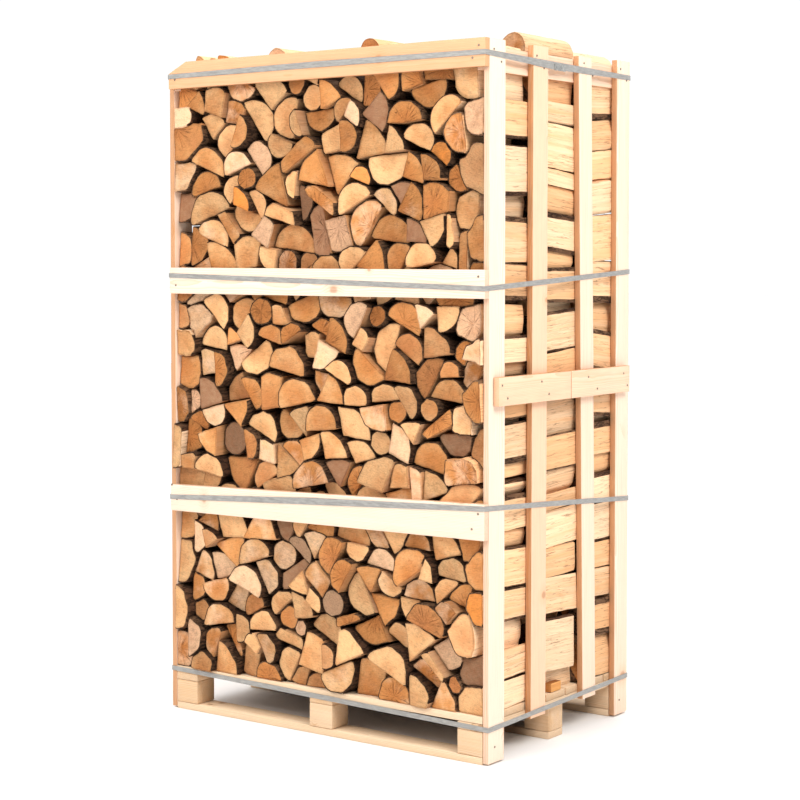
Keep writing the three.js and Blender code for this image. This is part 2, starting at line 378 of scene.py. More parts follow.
def split_face():
    """The long torn face of a split log: fibres along its length."""
    f = Finish("split_face", shine=RAW_SHINE)
    u, v, along = f.split(f.attribute("pith"))
    hue, light, seed = f.split(f.attribute("tone"))
    fibre = f.noise(f.join(u * 240, v * 240, along * 5 + seed * 9), 1, 4, 0.6)
    strand = f.noise(f.join(u * 60, v * 60, along * 2.6 + seed * 5), 1, 3, 0.6)
    patch = f.noise(f.join(u * 14, v * 14, along * 9 + seed * 7), 1, 3, 0.6)
    line = 1 - f.step((strand + fibre * 0.3).math("ABSOLUTE"), 0.0, 0.02)
    base = f.mix(f.step(hue + strand * 1.2, 0, 1), colour(248, 214, 176), colour(236, 184, 134))
    base = f.mix(f.step(fibre + strand * 0.5, 0.02, 0.45) * 0.65, base, colour(200, 136, 88))
    base = f.mix(f.step(patch + strand * 0.3, 0.06, 0.36) * 0.5, base, colour(186, 124, 78))
    base = f.mix(line * f.step(patch, -0.25, 0.15) * 0.75, base, colour(110, 66, 40))
    # the faces turned to the posts or the sky stay light; deeper in the stack the faces are painted
    # darker, partly unbleached wood and partly painted shade
    deep_shade = stack_depth_shade(f, patch)
    base = f.mix(deep_shade * 0.65, base, colour(172, 112, 62))
    base = f.shade(base, 0.86 + light * 0.22 + fibre * 0.6 + patch * 0.25 - deep_shade * 0.2)
    height = fibre * 0.8 + strand * 1.2
    return f.finish(base, 0.8 + fibre * 0.2, height, 0.8, 2.4 * MM)


def bark():
    """Ridged bark: long plates broken by dark furrows."""
    f = Finish("bark", shine=RAW_SHINE)
    u, v, along = f.split(f.attribute("pith"))
    hue, light, seed = f.split(f.attribute("tone"))
    warp = f.noise(f.join(u * 30, v * 30, along * 16 + seed * 5), 1, 3) * 0.9
    ridge = f.noise(f.join(u * 75 + warp, v * 75 - warp, along * 15 + seed * 9), 1, 3, 0.55)
    furrow = 1 - f.step(ridge.math("ABSOLUTE"), 0.0, 0.07)
    breaks = f.noise(f.join(u * 34, v * 34, along * 70), 1, 2)
    across = 1 - f.step(breaks.math("ABSOLUTE"), 0, 0.03)
    grit = f.noise(f.join(u * 300, v * 300, along * 160), 1, 4, 0.65)
    patch = f.noise(f.join(u * 18, v * 18, along * 12 + seed * 4), 1, 3)
    base = f.mix(f.step(patch + hue * 0.4, -0.1, 0.6), colour(84, 58, 42), colour(132, 100, 74))
    base = f.mix(furrow * 0.75 + across * 0.25, base, colour(38, 25, 18))
    # bark deeper in the stack is painted darker: partly less weathered bark, partly painted shade
    base = f.shade(base, 0.85 + light * 0.35 + grit * 0.9 - stack_depth_shade(f, patch) * 0.45)
    height = grit * 0.6 - furrow * 1.2 - across * 0.4 + ridge * 0.8
    return f.finish(base, 0.9 + grit * 0.1, height, 1.0, 3 * MM)


def strap_band():
    """Matt grey strapping with a fine pressed waffle."""
    f = Finish("strap_band")
    place = f.node("ShaderNodeTexCoord", {}, {}, "Object")
    x, y, z = f.split(place)
    run = (x + y) * (math.tau / WAFFLE_PITCH)
    rise = z * (math.tau / WAFFLE_PITCH)
    waffle = (run + rise).math("SINE") * (run - rise).math("SINE")
    scuff = f.noise(f.join(x * 40, y * 40, z * 260), 1, 4, 0.6)
    haze = f.noise(place, 9, 3)
    base = f.mix(f.step(scuff, -0.25, 0.3), colour(140, 139, 136), colour(172, 171, 168))
    base = f.shade(base, 0.98 + haze * 0.16 + waffle * 0.06)
    f.shader.inputs["Metallic"].default_value = 0.25
    return f.finish(base, 0.46 + scuff * 0.25, waffle * 0.4 + scuff * 0.3, 0.35, 0.3 * MM)


def plain_metal(name, first, second, scale):
    """Bright or rusty metal, clouded."""
    f = Finish(name)
    place = f.node("ShaderNodeTexCoord", {}, {}, "Object")
    cloud = f.noise(place, scale, 4, 0.6)
    f.shader.inputs["Metallic"].default_value = 0.85
    return f.finish(f.mix(f.step(cloud, -0.2, 0.25), first, second), 0.42 + cloud * 0.4,
                    cloud, 0.4, 0.3 * MM)


# ---------- helpers for pieces

def new_object(name, bm, materials, smooth_angle=None):
    """Makes a mesh object at the origin from a bmesh and frees the bmesh."""
    mesh = bpy.data.meshes.new(name)
    bm.to_mesh(mesh)
    bm.free()
    for material in materials:
        mesh.materials.append(material)
    if smooth_angle is not None:
        mesh.shade_smooth()
        mesh.set_sharp_from_angle(angle=smooth_angle)
    made = bpy.data.objects.new(name, mesh)
    bpy.context.collection.objects.link(made)
    return made


def stand_for(piece, node):
    """Puts a finished piece on the crate in the place of a CAD node."""
    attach(piece, "root")
    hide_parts(node)


def crosscut(bm, axis, places):
    """Cuts a bmesh across an axis at each place."""
    normal = Vector((0, 0, 0))
    normal[axis] = 1
    for place in places:
        bmesh.ops.bisect_plane(bm, geom=bm.verts[:] + bm.edges[:] + bm.faces[:],
                               plane_co=normal * place, plane_no=normal, dist=1e-6)


def soften(bm, width, sharper_than=0.6):
    """Rounds every edge that turns by more than an angle."""
    sharp = [e for e in bm.edges if len(e.link_faces) == 2 and e.calc_face_angle() > sharper_than]
    bmesh.ops.bevel(bm, geom=sharp, offset=width, segments=2, affect="EDGES",
                    profile=0.5, material=-1)


# ---------- boards

BOARD_STEP = 55 * MM        # distance between a board's crosswise cuts
BOARD_EDGE = 1.6 * MM       # wear along a board's edges
BOARD_SWAY = 1.5 * MM       # how far a sawn face strays inwards
BOARD_LIGHT = 0.5           # how light the wood is within its finish, from 0 to 1
ACROSS_CUTS = 4             # strips that a board's width is cut into
# how warm the boards are that show most, from 0 for pale to 2 for orange
SLAT_HUES = {"face_board_front_top": 1.7, "face_board_rear_top": 1.7,
             "face_board_front_middle": 0.1, "face_board_front_lower": 0.15,
             "post_right_front_corner": 0.05, "post_right_front_inner": 1.05,
             "post_right_rear_inner": 0.4, "post_right_rear_corner": 0.3,
             "mid_rail_right_front": 1.1, "mid_rail_right_rear": 0.8, "top_rail_right": 0.7}


def board(node, material, rng, hue):
    """A sawn board in the place of a CAD node, with its grain along its longest side."""
    low, high = (Vector(corner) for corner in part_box(node))
    size = high - low
    thin, wide, long = sorted((X, Y, Z), key=lambda axis: size[axis])
    bm = bmesh.new()
    bm.from_mesh(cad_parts[node].data)
    bmesh.ops.remove_doubles(bm, verts=bm.verts, dist=1e-5)
    bmesh.ops.dissolve_limit(bm, angle_limit=math.radians(0.2), verts=bm.verts, edges=bm.edges)
    soften(bm, BOARD_EDGE)
    cuts = max(2, round(size[long] / BOARD_STEP))
    crosscut(bm, long, [low[long] + size[long] * k / cuts for k in range(1, cuts)])
    crosscut(bm, wide, [low[wide] + size[wide] * k / ACROSS_CUTS for k in range(1, ACROSS_CUTS)])
    bm.normal_update()
    drift = Vector((rng.uniform(0, 50), rng.uniform(0, 50), rng.uniform(0, 50)))
    grain = bm.verts.layers.float_vector.new("grain")
    tone = bm.verts.layers.float_vector.new("tone")
    end = bm.faces.layers.float.new("end")
    edge = bm.faces.layers.float.new("edge")
    middle = (low + high) / 2
    pith_wide = rng.uniform(-0.7, 0.7) * size[wide]
    pith_thin = rng.choice((-1, 1)) * rng.uniform(30, 80) * MM
    start = rng.uniform(0, 20)
    look = (hue, BOARD_LIGHT, rng.random())
    for face in bm.faces:
        face[end] = 1.0 if abs(face.normal[long]) > 0.8 else 0.0
        face[edge] = 1.0 if abs(face.normal[wide]) > 0.8 else 0.0
    moves = []
    for vert in bm.verts:
        away = vert.co - middle
        vert[grain] = (away[long] + start, away[wide] + pith_wide, away[thin] + pith_thin)
        vert[tone] = look
        stray = noise.noise(vert.co * 9 + drift) * 0.6 + noise.noise(vert.co * 34 + drift) * 0.4
        moves.append(vert.normal * BOARD_SWAY * (0.5 + 0.5 * stray))
    for vert, move in zip(bm.verts, moves):
        vert.co -= move
    stand_for(new_object(node + "_sawn", bm, [material], math.radians(40)), node)


def make_boards(rng):
    """Every board, post, rail and block of the crate and its pallet."""
    slats = sawn_wood("crate_slat_wood", colour(250, 230, 211), colour(245, 206, 176),
                      colour(225, 163, 112), colour(164, 104, 62))
    pallet = sawn_wood("pallet_wood", colour(249, 226, 196), colour(237, 198, 152),
                       colour(212, 158, 106), colour(134, 86, 52), browning_and_shade=0.3, grime_and_shade=0.85)
    scrap = sawn_wood("offcut_wood", colour(236, 178, 110), colour(214, 142, 76),
                      colour(176, 104, 54), colour(104, 62, 36))
    crate = ("post_", "top_rail_", "mid_rail_", "face_board_")
    ground = ("bottom_board_", "block_", "stringer_", "deck_board_")
    for node in sorted(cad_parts):
        if node.startswith(crate):
            hue = rng.uniform(0.1, 0.6)
            board(node, slats, rng, SLAT_HUES.get(node, hue))
        elif node.startswith(ground):
            board(node, pallet, rng, rng.uniform(0, 0.5))
        elif node == "offcut_block":
            board(node, scrap, rng, 0.5)


# ---------- split logs

RAYS = 72                   # directions in which a log's section is measured from its middle
ANGLES = np.arange(RAYS) * (math.tau / RAYS)
DIRS = np.stack([np.cos(ANGLES), np.sin(ANGLES)], 1)
CORNERS = 16                # points that stand for a section while the stack settles
LOG_GAP = 2.4 * MM          # least room between neighbours
GROWTH = 9 * MM             # most that a log by the posts swells into the voids round it
POST_REACH = 40 * MM        # logs that come this near to the sides count as beside the posts
BARK_DEPTH = 3.6 * MM       # how thick bark is, as seen round the ends
RIM = 1.0 * MM              # width of the worn edge round a cut end
END, SIDE, BARK = 0, 1, 2   # a log's material slots
TIERS = 3                   # pieces that a row is made of, from the deck up
SLOPE = 0.16                # steepest that a patch of logs leans along its length
SLOPE_FADE = 180 * MM       # height over which the lean dies out at the deck and the top
UNEVEN = 26 * MM            # how far log ends fall short of their row's faces
PROUD = 15 * MM             # how far shown ends may stand out
OPEN_TO_SKY = 14 * MM       # logs this near to the top lie in the open
BARE_SHARE = 0.8            # share of those that have lost their bark
START_SWELL = 0.66          # size at which sections start to settle,
MORE_SWELL = 0.34           # what they still grow by,
SWOLLEN_BY = 0.62           # and the share of the laps that this takes
SINKING_UNTIL = 0.7         # share of the laps in which they sink
SINK = 0.1 * MM             # how far in a lap
CALMING = 0.42              # pushes on a log are divided by this share of their number
MOST_SPIN = 0.15            # largest turn in a lap
HOLD = 0.15                 # share of a held log's turn that a lap takes back
# height in a row of the top rails' underside, and how far in they reach from its sides
RAIL_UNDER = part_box("top_rail_right")[0][Z] - DECK_TOP
RAIL_IN = LOG_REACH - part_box("top_rail_right")[0][X] + 1 * MM
# lower and upper edges of the face boards, as heights in a row
BOARD_LEVELS = [(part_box(n)[0][Z] - DECK_TOP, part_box(n)[1][Z] - DECK_TOP)
                for n in ("face_board_front_top", "face_board_front_middle",
                          "face_board_front_lower")]

# each way's share of the stack and of the logs by the posts, and its splits as ranges of
# the way they face, in degrees, and of their distance from the pith of a log of radius 1
WAYS_TO_SPLIT = {
    "half": (0.50, 0.6, (((267, 273), (-0.02, 0.35)),)),
    "quarter": (0.18, 0.2, (((270, 270), (0.0, 0.2)), ((165, 195), (0.0, 0.2)))),
    "wedge": (0.04, 0, (((204, 216), (0, 0)), ((324, 336), (0, 0)))),
    "whole": (0.06, 0, ()),
    "slab": (0.05, 0.05, (((270, 270), (-0.15, 0.1)), ((78, 102), (0.62, 0.8)))),
    "billet": (0.08, 0.15, (((270, 270), (0.3, 0.5)), ((165, 195), (0.35, 0.6)),
                            ((-20, 20), (0.5, 0.85)))),
    "third": (0.08, 0, (((270, 270), (0.02, 0.02)), ((140, 160), (0.02, 0.02)))),
}
SIZES = (0.5, 0.75, 1.0, 1.25, 1.6)              # areas of logs against the mean,
SIZE_SHARES = (0.17, 0.26, 0.27, 0.2, 0.10)      # and how often they come


def disc_less_splits(centre, splits):
    """Reach of a split disc of radius 1 along each ray from centre, and where it is bark."""
    ahead = DIRS @ centre
    reach = np.sqrt(np.maximum(1 - centre @ centre + ahead * ahead, 0)) - ahead
    barked = np.ones(RAYS, bool)
    for direction, distance in splits:
        normal = np.array([math.cos(direction), math.sin(direction)])
        facing = DIRS @ normal
        to_split = np.where(facing > 1e-6, (distance - normal @ centre) / np.maximum(facing, 1e-6),
                            np.inf)
        barked &= to_split > reach
        reach = np.minimum(reach, to_split)
    return reach, barked


def area_of(reach):
    """The area inside a reach in every direction."""
    return 0.5 * float((reach * np.roll(reach, -1)).sum()) * math.sin(math.tau / RAYS)


def section(way, area, rng):
    """Reach of each ray, bark rays and place of the pith, for a log of that area."""
    splits = [(math.radians(rng.uniform(*turn)), rng.uniform(*gap))
              for turn, gap in WAYS_TO_SPLIT[way][2]]
    centre = np.zeros(2)
    for direction, _ in splits:
        centre -= 0.25 * np.array([math.cos(direction), math.sin(direction)])
    for _ in range(4):
        reach, barked = disc_less_splits(centre, splits)
        centre = centre + (DIRS * (reach ** 3)[:, None]).sum(0) / (reach ** 2).sum() * (2 / 3)
    reach, barked = disc_less_splits(centre, splits)
    for lobes, depth in ((2, 0.018), (3, 0.014), (5, 0.008)):
        reach = reach * (1 + depth * np.sin(lobes * ANGLES + rng.uniform(0, math.tau)))
    reach = 0.5 * reach + 0.25 * (np.roll(reach, 1) + np.roll(reach, -1))   # blunt corners
    scale = math.sqrt(area / area_of(reach))
    return reach * scale, barked, -centre * scale


def outline(reach, count, evenness):
    """Which rays to keep so that count points still show the section's corners."""
    points = reach[:, None] * DIRS
    kept = list(range(RAYS))
    while len(kept) > count:
        shape = points[kept]
        back = np.roll(shape, 1, 0) - shape
        ahead = np.roll(shape, -1, 0) - shape
        loss = np.abs(back[:, 0] * ahead[:, 1] - back[:, 1] * ahead[:, 0])
        span = ((back - ahead) ** 2).sum(1)
        kept.pop(int((loss + evenness * span).argmin()))
    return np.array(kept)


def turned(points, turn):
    """Each row of points turned about the origin by its own angle."""
    c, s = np.cos(turn)[:, None], np.sin(turn)[:, None]
    return np.stack([points[..., 0] * c - points[..., 1] * s,
                     points[..., 0] * s + points[..., 1] * c], -1)


def settle(corners, area, place, turn, held, walls, rounds):
    """Lets rigid sections swell to full size and push one another apart inside walls.

    The held ones keep turning back to where they started."""
    count = len(corners)
    start = turn
    radius = np.hypot(corners[..., 0], corners[..., 1]).max(1)
    # how readily each one shifts and turns
    light = 1 / area
    nimble = 1 / (area * (radius * 0.62) ** 2 * 0.5)
    for lap in range(rounds):
        swell = min(1.0, START_SWELL + MORE_SWELL * lap / (rounds * SWOLLEN_BY))
        shape = turned(corners, turn) * swell + place[:, None]
        edge = np.roll(shape, -1, 1) - shape
        length = np.hypot(edge[..., 0], edge[..., 1]) + 1e-9
        normal = np.stack([edge[..., 1], -edge[..., 0]], -1) / length[..., None]
        offset = (normal * shape).sum(-1)
        if lap % 4 == 0:
            apart = np.hypot(place[:, None, 0] - place[None, :, 0],
                             place[:, None, 1] - place[None, :, 1])
            close = apart < (radius[:, None] + radius[None, :]) * swell + 4 * MM
            mine, other = np.nonzero(close & ~np.eye(count, dtype=bool))
        outside = np.matmul(shape[mine], normal[other].transpose(0, 2, 1)) - offset[other][:, None]
        nearest = outside.argmax(2)
        depth = -np.take_along_axis(outside, nearest[..., None], 2)[..., 0]
        pair, corner = np.nonzero(depth > 0)
        i, j, push = mine[pair], other[pair], depth[pair, corner]
        way = normal[j, nearest[pair, corner]]
        moves = [(i, j, corner, way, push)]
        for way, push in walls(shape):
            i, corner = np.nonzero(push > 0)
            moves.append((i, None, corner, np.tile(way, (len(i), 1)), push[i, corner]))
        shift, spin, hits = np.zeros((count, 2)), np.zeros(count), np.zeros(count)
        for i, j, corner, way, push in moves:
            arm = shape[i, corner] - place[i]
            lever = arm[:, 0] * way[:, 1] - arm[:, 1] * way[:, 0]
            give = light[i] + lever ** 2 * nimble[i]
            if j is not None:
                arm = shape[i, corner] - place[j]
                back = arm[:, 0] * way[:, 1] - arm[:, 1] * way[:, 0]
                give = give + light[j] + back ** 2 * nimble[j]
            share = push / give
            for k in (0, 1):
                shift[:, k] += np.bincount(i, way[:, k] * share * light[i], count)
            spin += np.bincount(i, lever * share * nimble[i], count)
            hits += np.bincount(i, minlength=count)
            if j is not None:
                for k in (0, 1):
                    shift[:, k] -= np.bincount(j, way[:, k] * share * light[j], count)
                spin -= np.bincount(j, back * share * nimble[j], count)
                hits += np.bincount(j, minlength=count)
        calm = np.maximum(hits * CALMING, 1)
        place = np.round(place + shift / calm[:, None], 7)
        turn = turn + np.clip(spin / calm, -MOST_SPIN, MOST_SPIN)
        turn = np.round(np.where(held, turn + (start - turn) * HOLD, turn), 7)
        if lap < rounds * SINKING_UNTIL:
            place[:, 1] -= SINK
    return place, turn


def part(logs, a, b):
    """Trims two logs back to either side of the line where they meet."""
    best = None
    for first, second, sign in ((a, b, 1), (b, a, -1)):
        shape = logs[first].shape()
        edge = np.roll(shape, -1, 0) - shape
        normal = np.stack([edge[:, 1], -edge[:, 0]], 1) / (np.hypot(*edge.T)[:, None] + 1e-12)
        offset = (normal * shape).sum(1)
        clear = (logs[second].shape() @ normal.T).min(0) - offset
        k = int(clear.argmax())
        if best is None or clear[k] > best[0]:
            best = (clear[k], normal[k] * sign, (offset[k] + clear[k] / 2) * sign)
    clear, normal, line = best
    if clear < LOG_GAP:
        logs[a].trim(normal, line - LOG_GAP / 2)
        logs[b].trim(-normal, -line - LOG_GAP / 2)


class Log:
    """The section of one log in its place in a row: x across the crate and z up."""

    def __init__(self, reach, barked, pith, place, turn, loose=False):
        self.reach, self.barked, self.place, self.loose = reach, barked, place, loose
        self.turn = turn
        self.rays = turned(DIRS[None], np.array([turn]))[0]
        self.pith = turned(pith[None, None], np.array([turn]))[0, 0]

    def shape(self):
        """The section's points in the row."""
        return self.place + self.reach[:, None] * self.rays

    def trim(self, normal, line):
        """Cuts the section back behind a line that faces along normal."""
        facing = self.rays @ normal
        limit = (line - normal @ self.place) / np.maximum(facing, 1e-6)
        cut = (facing > 1e-6) & (limit < self.reach)
        self.reach = np.where(cut, np.maximum(limit, self.reach * 0.3), self.reach)

    def beside_posts(self, width):
        across = self.shape()[:, 0]
        return across.min() < POST_REACH or across.max() > width - POST_REACH

    def fill_out(self, others):
        """Swells the section a little into the room that the others leave."""
        room = self.reach + GROWTH
        for other in others:
            away = other.shape() - self.place
            ray = np.round((np.arctan2(away[:, 1], away[:, 0]) - self.turn) / (math.tau / RAYS))
            np.minimum.at(room, ray.astype(int) % RAYS, np.hypot(*away.T) - LOG_GAP / 2)
        gain = np.maximum(room - self.reach, 0)
        gain = np.min([np.roll(gain, k) for k in (-2, -1, 0, 1, 2)], axis=0)
        self.reach = self.reach + (gain + np.roll(gain, 1) + np.roll(gain, -1)) / 3


def make_walls(width, height, heel=None):
    """The walls of a row as a function from corner points to (way, how far each is outside).

    The logs leave room for the top rails and, low on the right, for a heel: how far in it
    reaches and how high."""
    def walls(shape):
        x, z = shape[..., 0], shape[..., 1]
        inset = np.where(z > RAIL_UNDER, RAIL_IN, 0)
        right = inset if heel is None else np.where(z < heel[1], heel[0], inset)
        crest = height + 9 * MM * np.sin(x * 17 + width) + 7 * MM * np.sin(x * 41)
        yield np.array([1.0, 0.0]), inset - x
        yield np.array([-1.0, 0.0]), x - width + right
        yield np.array([0.0, 1.0]), -z
        yield np.array([0.0, -1.0]), (z - crest) * 0.7
    return walls


def choose_sections(rng, width, height, columns, mean, fill):
    """Sections of mixed kinds and sizes until they fill their share of the wall."""
    names = list(WAYS_TO_SPLIT)
    shares, flat_shares, _ = zip(*WAYS_TO_SPLIT.values())
    total, made = 0, []
    while total < fill * width * height:
        at_wall = len(made) % columns in (0, columns - 1)
        way = rng.choices(names, flat_shares if at_wall else shares)[0]
        size = rng.choices(SIZES, SIZE_SHARES)[0]
        area = mean ** 2 * 0.9 * size * rng.uniform(0.88, 1.12) * (0.75 if way == "whole" else 1)
        made.append(section(way, area, rng))
        total += area
    return made


def first_places(rng, count, columns, width, height):
    """Places and turns on a loose grid, and which logs keep a flat side to the posts."""
    rows = math.ceil(count / columns)
    place, turn, held = [], [], []
    for k in range(count):
        row, column = divmod(k, columns)
        lean = 0.25 if row % 2 else -0.25
        place.append(((column + 0.5 + lean) * width / columns + rng.uniform(-10, 10) * MM,
                      (row + 0.5) * height / rows + rng.uniform(-10, 10) * MM))
        quarter_turns = rng.choice((0, 0, 0, 0, 0, 0, 0, 1, -1, 2))
        twist = 0.45
        held.append(column in (0, columns - 1))
        if held[-1]:
            quarter_turns = -1 if column == 0 else 1
            twist = 0.14
        turn.append(quarter_turns * math.pi / 2 + rng.uniform(-twist, twist))
    return np.array(place), np.array(turn), np.array(held)


def stack(rng, width, height, walls, mean, fill, rounds, toppers):
    """Split-log sections that fill a width by height wall, as Logs."""
    columns = round(width / (mean * 0.97))
    made = choose_sections(rng, width, height, columns, mean, fill)
    place, turn, held = first_places(rng, len(made), columns, width, height)
    corners = np.array([(reach[:, None] * DIRS)[outline(reach, CORNERS, 0)]
                        for reach, _, _ in made])
    area = np.array([area_of(reach) for reach, _, _ in made])
    laps = rounds
    place, turn = settle(corners, area, place, turn, held, walls, laps)
    logs = [Log(*shape, at, angle) for shape, at, angle in zip(made, place, turn)]
    for share, crown in toppers:
        reach, barked, pith = section("half", mean ** 2 * 0.44, rng)
        rise = (reach * DIRS[:, 1]).max()
        spot = np.array([width * share, height + crown - rise])
        logs.append(Log(reach, barked, pith, spot, 0.0, loose=True))
    # trim neighbours clear of one another, fill the voids by the posts, then clear the walls
    longest = [log.reach.max() for log in logs]
    close = [[] for log in logs]
    for a in range(len(logs)):
        for b in range(a + 1, len(logs)):
            apart = np.hypot(*(logs[a].place - logs[b].place))
            if apart < longest[a] + longest[b] + 2 * GROWTH:
                part(logs, a, b)
                close[a].append(logs[b])
                close[b].append(logs[a])
    for log, others in zip(logs, close):
        if log.beside_posts(width):
            log.fill_out(others)
    for log in logs:
        for way, outside in walls(log.shape()[None]):
            worst = float(outside.max())
            if worst > -LOG_GAP / 2 and way[1] > -0.5:
                log.trim(-way, float((log.shape() @ -way).max()) - worst - LOG_GAP / 2)
    return logs


def rolled_log(bm, layers, log, span, shown, slope, points, stretches, rng):
    """Adds one log: a sheet rolled round its section, closed at both ends at a pole.

    shown holds 0, 1 or both for the ends that can be seen and get a rim."""
    kept = outline(log.reach, points, 0.02)
    reach = log.reach[kept]
    rays = log.rays[kept]
    barked = log.barked[kept]
    around = np.append(np.arange(points), 0)
    # each ring is (share of the reach, depth taken off it, place along the log, lift, rim darkness:
    # dirt and painted shade)
    cap = [(0, 0, 0, 0, 0), (0.5, 0, 0, 0, 0), (0.84, 0, 0, 0, 0.1), (1, BARK_DEPTH, 0, 0, 0.8),
           (1, RIM, 0, 0, 1)]
    shut = [(0, 0, 0, 0, 0)]
    opening = cap if 0 in shown else shut
    closing = cap if 1 in shown else shut
    sides = [(1, 0, k / stretches, (k == 0) * RIM - (k == stretches) * RIM, 0)
             for k in range(stretches + 1)]
    far_cap = [(share, less, 1, lift, rim_dirt_and_shade) for share, less, _, lift, rim_dirt_and_shade in reversed(closing)]
    rings = opening + sides + far_cap
    share, less, along, lift, rim = (np.array(column)[:, None] for column in zip(*rings))
    flat = np.maximum(reach[None] * share - less, 0)[..., None] * rays[None]
    # sawing leaves the ends out of square, and a log tapers and bows a little
    seed = rng.uniform(0, 99)
    start, finish = span
    lean = rng.uniform(-0.11, 0.11), rng.uniform(-0.11, 0.11)
    taper, bow = rng.uniform(0, 0.05), rng.uniform(-2, 2) * MM
    y = start + (finish - start) * along + lift
    y = y + flat[..., 0] * lean[0] * np.where(along > 0.5, -1, 1) + flat[..., 1] * lean[1]
    thin = 1 - taper * np.abs(along - (0 not in shown))
    x = log.place[0] - LOG_REACH + flat[..., 0] * thin + bow * np.sin(along * math.pi)
    z = log.place[1] + DECK_TOP + flat[..., 1] * thin + slope * (y - (start + finish) / 2)
    made = bmesh.ops.create_grid(bm, x_segments=points, y_segments=len(rings) - 1, size=1)
    sheet = made["verts"]
    look = (rng.random(), rng.random(), rng.random())
    wide = points + 1
    for k, vert in enumerate(sheet):
        ring, ray = divmod(k, wide)
        i = around[ray]
        spot = Vector((x[ring, i], y[ring, i], z[ring, i]))
        vert[layers["pith"]] = (flat[ring, i, 0] - log.pith[0], flat[ring, i, 1] - log.pith[1],
                                y[ring, i] + seed)
        vert[layers["tone"]] = look
        vert[layers["rim"]] = rim[ring, 0]
        vert[layers["index"]] = k
        if share[ring, 0] == 1:
            torn = noise.noise(Vector((spot.x * 70, spot.y * 9 + seed, spot.z * 70)))
            wavy = noise.noise(Vector((spot.x * 22, spot.y * 24 + seed, spot.z * 22)))
            depth = (torn * (1.0 if barked[i] else 1.8) + wavy * 1.8) * MM
            spot.x += rays[i, 0] * depth
            spot.z += rays[i, 1] * depth
            if along[ring, 0] in (0, 1):
                spot.y += noise.noise(Vector((spot.x * 60, seed, spot.z * 60))) * 1.5 * MM
        vert.co = spot
    # bark is seen round the ends too, as deep as it is thick
    first_side = len(opening)
    last_side = first_side + stretches
    for face in {face for vert in sheet for face in vert.link_faces}:
        ring, ray = divmod(min(vert[layers["index"]] for vert in face.verts), wide)
        skin = barked[around[ray]] and barked[around[ray + 1]]
        on_side = first_side <= ring < last_side
        by_side = first_side - 2 <= ring < last_side + 2
        face.material_index = BARK if skin and by_side else (SIDE if on_side else END)
    bmesh.ops.remove_doubles(bm, verts=sheet, dist=1e-6)


def behind_board(low, high):
    """Whether heights in a row lie behind a face board."""
    return any(low < top and high > bottom for bottom, top in BOARD_LEVELS)


def log_row(name, shown, rng, finishes, points, stretches, **pile):
    """One row of logs as pieces from the deck up; shown says which of its faces show."""
    node = f"log_row_{name}"
    low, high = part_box(node)
    span = (low[Y], high[Y])
    width = 2 * LOG_REACH
    height = LOG_TOP - DECK_TOP
    logs = stack(rng, width, height, **pile)
    logs.sort(key=lambda log: log.place[1])
    for tier in range(TIERS):
        bm = bmesh.new()
        vectors, numbers = bm.verts.layers.float_vector, bm.verts.layers.float
        layers = {"pith": vectors.new("pith"), "tone": vectors.new("tone"),
                  "rim": numbers.new("rim"), "index": bm.verts.layers.int.new("index")}
        for log in logs:
            if min(TIERS - 1, int(log.place[1] / height * TIERS)) != tier:
                continue
            shape = log.shape()
            ends = [span[0] + rng.uniform(0, UNEVEN), span[1] - rng.uniform(0, UNEVEN)]
            bottom, top = shape[:, 1].min(), shape[:, 1].max()
            if not behind_board(bottom, top):
                for end in shown:
                    inwards = 1 if end == 0 else -1
                    ends[end] = span[end] + inwards * rng.uniform(-PROUD, UNEVEN)
            if log.loose:
                ends = span
            if log.loose or (top > height - OPEN_TO_SKY and rng.random() < BARE_SHARE):
                log.barked = np.zeros(RAYS, bool)
            x, z = log.place
            free = min(1, z / SLOPE_FADE, max(0, height - z) / SLOPE_FADE)
            slope = SLOPE * free * noise.noise(Vector((x * 1.5, z * 2.6, span[0] * 9)))
            capped = (0, 1) if log.loose else shown
            rolled_log(bm, layers, log, ends, capped, slope, points,
                       stretches * (1 + log.beside_posts(width)), rng)
        bm.verts.layers.int.remove(bm.verts.layers.int["index"])
        bmesh.ops.recalc_face_normals(bm, faces=bm.faces)
        piece = new_object(f"logs_{name}_tier_{tier + 1}", bm, finishes, math.radians(38))
        stand_for(piece, node)


def make_logs():
    """The three rows; the middle one stands clear of the offcut on the deck."""
    finishes = [cut_end(), split_face(), bark()]
    offcut_low, offcut_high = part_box("offcut_block")
    heel = (LOG_REACH - offcut_low[X] + 3 * MM, offcut_high[Z] - DECK_TOP + 3 * MM)
    width, height = 2 * LOG_REACH, LOG_TOP - DECK_TOP
    plain = make_walls(width, height)
    heeled = make_walls(width, height, heel)
    full = dict(points=32, stretches=6, mean=85 * MM, fill=0.92, rounds=420)
    short = full | dict(points=24, stretches=4, rounds=300)
    # toppers are loose logs on top, as (share of the width, height over the stack)
    rows = (("front", (0,), 3, plain, full | dict(toppers=((0.66, 12 * MM), (0.36, 6 * MM)))),
            ("rear", (1,), 11, plain, full | dict(toppers=((0.93, 4 * MM), (0.3, 8 * MM)))),
            ("middle", (), 7, heeled, short | dict(toppers=((0.935, 24 * MM), (0.5, 8 * MM)))))
    for name, shown, seed, walls, pile in rows:
        log_row(name, shown, random.Random(seed), finishes, walls=walls, **pile)


# ---------- straps, seals and nails

def make_straps():
    """The CAD straps themselves, in their finish."""
    band = strap_band()
    for node in sorted(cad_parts):
        if node.startswith("strap_") and not node.startswith("strap_seal"):
            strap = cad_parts[node]
            strap.data.materials.clear()
            strap.data.materials.append(band)
            weld = strap.modifiers.new("weld", "WELD")
            weld.merge_threshold = 1e-5


CRIMPS = (0.3, 0.7)         # places along a seal
CRIMP_HALF = 0.06           # half a crimp's length, as a share of the seal's
CRIMP_PINCH = 0.3           # share of the half width that it takes


